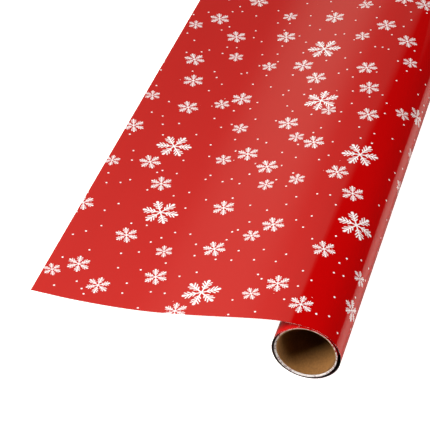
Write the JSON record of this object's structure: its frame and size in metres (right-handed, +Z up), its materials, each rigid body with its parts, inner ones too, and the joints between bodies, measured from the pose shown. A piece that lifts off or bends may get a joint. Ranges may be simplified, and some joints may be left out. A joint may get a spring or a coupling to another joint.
{
  "type": "wrapping paper roll",
  "caption": "Roll of snowflake-print wrapping paper on a cardboard core, its first sheet pulled off over the top and lying out beside the roll.",
  "frame": {"origin": "on the core's axis, half way along the roll", "axes": "+Y along the roll away from the end seen, +Z up, the loose sheet runs off towards -X"},
  "size_m": [0.2102, 0.7014, 0.0443],
  "materials": {
    "kraft_board": "matt",
    "printed_paper": "gloss coated print outside, white uncoated back"
  },
  "bodies": {
    "outer_turn": {"outer_turn": "printed_paper"},
    "roll": {"core_inner_ply": "kraft_board", "core_middle_ply": "kraft_board", "core_outer_ply": "kraft_board", "wound_paper": "printed_paper"},
    "sheet_01": {"sheet_01": "printed_paper"},
    "sheet_02": {"sheet_02": "printed_paper"},
    "sheet_03": {"sheet_03": "printed_paper"},
    "sheet_04": {"sheet_04": "printed_paper"},
    "sheet_05": {"sheet_05": "printed_paper"},
    "sheet_06": {"sheet_06": "printed_paper"},
    "sheet_07": {"sheet_07": "printed_paper"},
    "sheet_08": {"sheet_08": "printed_paper"},
    "sheet_09": {"sheet_09": "printed_paper"},
    "sheet_10": {"sheet_10": "printed_paper"},
    "sheet_11": {"sheet_11": "printed_paper"},
    "sheet_12": {"sheet_12": "printed_paper"},
    "sheet_13": {"sheet_13": "printed_paper"},
    "sheet_14": {"sheet_14": "printed_paper"},
    "sheet_15": {"sheet_15": "printed_paper"},
    "sheet_16": {"sheet_16": "printed_paper"}
  },
  "joints": [
    {"name": "roll_turn", "type": "hinge", "parent": "outer_turn", "child": "roll", "pos_m": [0, 0, 0], "axis": [0, -1, 0], "continuous": true},
    {"name": "sheet_bend_01", "type": "hinge", "parent": "outer_turn", "child": "sheet_01", "pos_m": [-0.008, 0, 0.02126], "axis": [0, -1, 0], "range_deg": [-12, 24.9], "stiffness_Nm_per_rad": 0.04, "springref_deg": 0.46},
    {"name": "sheet_bend_02", "type": "hinge", "parent": "sheet_01", "child": "sheet_02", "pos_m": [-0.01945, 0, 0.01982], "axis": [0, -1, 0], "range_deg": [-12, 19.9], "stiffness_Nm_per_rad": 0.04, "springref_deg": 1.26},
    {"name": "sheet_bend_03", "type": "hinge", "parent": "sheet_02", "child": "sheet_03", "pos_m": [-0.03061, 0, 0.01683], "axis": [0, -1, 0], "range_deg": [-12, 27], "stiffness_Nm_per_rad": 0.04, "springref_deg": 1.89},
    {"name": "sheet_bend_04", "type": "hinge", "parent": "sheet_03", "child": "sheet_04", "pos_m": [-0.04159, 0, 0.01321], "axis": [0, -1, 0], "range_deg": [-12, 27.2], "stiffness_Nm_per_rad": 0.04, "springref_deg": 2.46},
    {"name": "sheet_bend_05", "type": "hinge", "parent": "sheet_04", "child": "sheet_05", "pos_m": [-0.05249, 0, 0.00938], "axis": [0, -1, 0], "range_deg": [-12, 27.4], "stiffness_Nm_per_rad": 0.04, "springref_deg": 2.92},
    {"name": "sheet_bend_06", "type": "hinge", "parent": "sheet_05", "child": "sheet_06", "pos_m": [-0.06337, 0, 0.00549], "axis": [0, -1, 0], "range_deg": [-12, 27.6], "stiffness_Nm_per_rad": 0.04, "springref_deg": 3.21},
    {"name": "sheet_bend_07", "type": "hinge", "parent": "sheet_06", "child": "sheet_07", "pos_m": [-0.07428, 0, 0.00165], "axis": [0, -1, 0], "range_deg": [-12, 27.5], "stiffness_Nm_per_rad": 0.04, "springref_deg": 3.5},
    {"name": "sheet_bend_08", "type": "hinge", "parent": "sheet_07", "child": "sheet_08", "pos_m": [-0.08523, 0, -0.00204], "axis": [0, -1, 0], "range_deg": [-12, 27.9], "stiffness_Nm_per_rad": 0.04, "springref_deg": 3.61},
    {"name": "sheet_bend_09", "type": "hinge", "parent": "sheet_08", "child": "sheet_09", "pos_m": [-0.09625, 0, -0.00552], "axis": [0, -1, 0], "range_deg": [-12, 28.6], "stiffness_Nm_per_rad": 0.04, "springref_deg": 3.61},
    {"name": "sheet_bend_10", "type": "hinge", "parent": "sheet_09", "child": "sheet_10", "pos_m": [-0.10736, 0, -0.00872], "axis": [0, -1, 0], "range_deg": [-12, 29], "stiffness_Nm_per_rad": 0.04, "springref_deg": 3.55},
    {"name": "sheet_bend_11", "type": "hinge", "parent": "sheet_10", "child": "sheet_11", "pos_m": [-0.11857, 0, -0.01153], "axis": [0, -1, 0], "range_deg": [-12, 28.7], "stiffness_Nm_per_rad": 0.04, "springref_deg": 3.38},
    {"name": "sheet_bend_12", "type": "hinge", "parent": "sheet_11", "child": "sheet_12", "pos_m": [-0.12986, 0, -0.01398], "axis": [0, -1, 0], "range_deg": [-12, 28.1], "stiffness_Nm_per_rad": 0.04, "springref_deg": 3.09},
    {"name": "sheet_bend_13", "type": "hinge", "parent": "sheet_12", "child": "sheet_13", "pos_m": [-0.14122, 0, -0.01612], "axis": [0, -1, 0], "range_deg": [-12, 27.2], "stiffness_Nm_per_rad": 0.04, "springref_deg": 2.69},
    {"name": "sheet_bend_14", "type": "hinge", "parent": "sheet_13", "child": "sheet_14", "pos_m": [-0.15261, 0, -0.01808], "axis": [0, -1, 0], "range_deg": [-12, 27.2], "stiffness_Nm_per_rad": 0.04, "springref_deg": 2.18},
    {"name": "sheet_bend_15", "type": "hinge", "parent": "sheet_14", "child": "sheet_15", "pos_m": [-0.16404, 0, -0.01979], "axis": [0, -1, 0], "range_deg": [-12, 28.2], "stiffness_Nm_per_rad": 0.04, "springref_deg": 1.55},
    {"name": "sheet_bend_16", "type": "hinge", "parent": "sheet_15", "child": "sheet_16", "pos_m": [-0.17552, 0, -0.02109], "axis": [0, -1, 0], "range_deg": [-12, 25.9], "stiffness_Nm_per_rad": 0.04, "springref_deg": 0.86}
  ]
}
